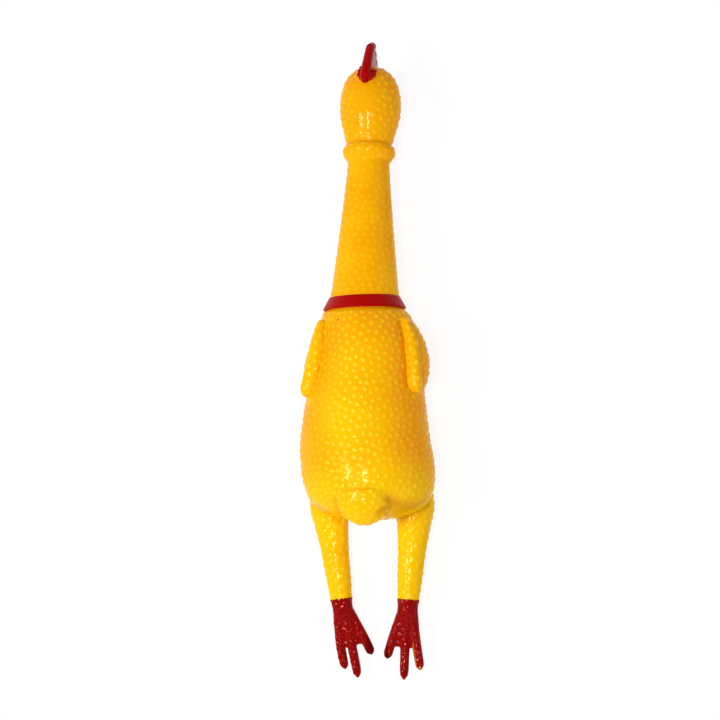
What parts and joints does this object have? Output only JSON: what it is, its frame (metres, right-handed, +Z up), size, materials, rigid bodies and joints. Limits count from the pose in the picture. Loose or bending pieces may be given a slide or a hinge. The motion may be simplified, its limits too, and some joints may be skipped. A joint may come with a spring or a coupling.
{
  "type": "rubber chicken",
  "caption": "Hollow soft vinyl squeeze chicken with a long bending neck, folded wings, trailing legs, clawless three-toed feet and a reed sounder in the throat",
  "frame": {"origin": "below the middle of the whole length and width, at the height of the table that the belly lies on", "axes": "+Y along the spine towards the head and comb, +Z up through the back, +X towards the bird's right side as it lies on its belly"},
  "size_m": [0.0819, 0.3936, 0.0787],
  "materials": {
    "yellow_vinyl": "glossy soft vinyl, pimpled all over",
    "red_paint": "red spray paint on vinyl, satin on the collar and glossy on the feet",
    "orange_paint": "orange spray paint on vinyl",
    "eye_paint": "white and black paint on vinyl",
    "white_plastic": "moulded",
    "reed_film": "thin stiff film"
  },
  "bodies": {
    "torso": {"back_shell": "yellow_vinyl", "tail": "yellow_vinyl", "neck_collar": "red_paint", "wing_left": "yellow_vinyl", "wing_right": "yellow_vinyl", "haunch_left": "yellow_vinyl", "haunch_right": "yellow_vinyl"},
    "breast": {"breast_panel": "yellow_vinyl"},
    "neck_lower": {"neck_root": "yellow_vinyl", "neck_middle": "yellow_vinyl"},
    "neck_upper": {"neck_bend": "yellow_vinyl", "neck_top": "yellow_vinyl", "throat_ring": "yellow_vinyl", "squeaker_barrel": "white_plastic", "squeaker_grille": "white_plastic", "reed_block": "white_plastic", "reed_wedge": "white_plastic"},
    "reed": {"reed": "reed_film"},
    "head": {"nape": "yellow_vinyl", "head_shell": "yellow_vinyl", "comb": "red_paint", "upper_beak": "orange_paint", "lower_beak": "orange_paint", "eye_left": "eye_paint", "eye_right": "eye_paint", "wattle_left": "red_paint", "wattle_right": "red_paint"},
    "hip_left": {"hip_left": "yellow_vinyl"},
    "leg_left": {"thigh_left": "yellow_vinyl", "shank_left": "yellow_vinyl"},
    "foot_left": {"ankle_left": "red_paint", "foot_left": "red_paint"},
    "hip_right": {"hip_right": "yellow_vinyl"},
    "leg_right": {"thigh_right": "yellow_vinyl", "shank_right": "yellow_vinyl"},
    "foot_right": {"ankle_right": "red_paint", "foot_right": "red_paint"}
  },
  "joints": [
    {"name": "squeeze", "type": "slide", "parent": "torso", "child": "breast", "axis": [0, 0, 1], "range_m": [0, 0.015], "stiffness_N_per_m": 800, "springref_m": -0.01},
    {"name": "neck_sway", "type": "hinge", "parent": "torso", "child": "neck_lower", "pos_m": [0.00112, 0.05052, 0.0405], "axis": [0, 0, 1], "range_deg": [-30, 30], "stiffness_Nm_per_rad": 2, "deforming": ["neck_root"]},
    {"name": "neck_nod", "type": "hinge", "parent": "neck_lower", "child": "neck_upper", "pos_m": [0.00293, 0.09048, 0.0405], "axis": [0.999, -0.0454, 0], "range_deg": [-30, 30], "stiffness_Nm_per_rad": 1.5, "deforming": ["neck_bend"]},
    {"name": "head_nod", "type": "hinge", "parent": "neck_upper", "child": "head", "pos_m": [0.00495, 0.13494, 0.0405], "axis": [0.999, -0.0454, 0], "range_deg": [-15, 20], "stiffness_Nm_per_rad": 0.8, "deforming": ["nape"]},
    {"name": "reed_beat", "type": "hinge", "parent": "neck_upper", "child": "reed", "pos_m": [0.00437, 0.12205, 0.0403], "axis": [0.999, -0.0454, 0], "range_deg": [-1.5, 2], "stiffness_Nm_per_rad": 0.0005},
    {"name": "hip_splay_left", "type": "hinge", "parent": "torso", "child": "hip_left", "pos_m": [-0.02455, -0.10934, 0.02245], "axis": [0, 0, 1], "range_deg": [-20, 1.5], "stiffness_Nm_per_rad": 0.4, "deforming": ["hip_left"]},
    {"name": "hip_swing_left", "type": "hinge", "parent": "hip_left", "child": "leg_left", "pos_m": [-0.02351, -0.11925, 0.02158], "axis": [0.9945, 0.1045, 0], "range_deg": [-30, 30], "stiffness_Nm_per_rad": 0.4, "deforming": ["thigh_left"]},
    {"name": "ankle_left", "type": "hinge", "parent": "leg_left", "child": "foot_left", "pos_m": [-0.01992, -0.15343, 0.01858], "axis": [0.9945, 0.1045, 0], "range_deg": [-30, 30], "stiffness_Nm_per_rad": 0.15, "deforming": ["ankle_left"]},
    {"name": "hip_splay_right", "type": "hinge", "parent": "torso", "child": "hip_right", "pos_m": [0.02455, -0.10934, 0.02245], "axis": [0, 0, 1], "range_deg": [-1.5, 20], "stiffness_Nm_per_rad": 0.4, "deforming": ["hip_right"]},
    {"name": "hip_swing_right", "type": "hinge", "parent": "hip_right", "child": "leg_right", "pos_m": [0.02351, -0.11925, 0.02158], "axis": [0.9945, -0.1045, 0], "range_deg": [-30, 30], "stiffness_Nm_per_rad": 0.4, "deforming": ["thigh_right"]},
    {"name": "ankle_right", "type": "hinge", "parent": "leg_right", "child": "foot_right", "pos_m": [0.01992, -0.15343, 0.01858], "axis": [0.9945, -0.1045, 0], "range_deg": [-30, 30], "stiffness_Nm_per_rad": 0.15, "deforming": ["ankle_right"]}
  ]
}
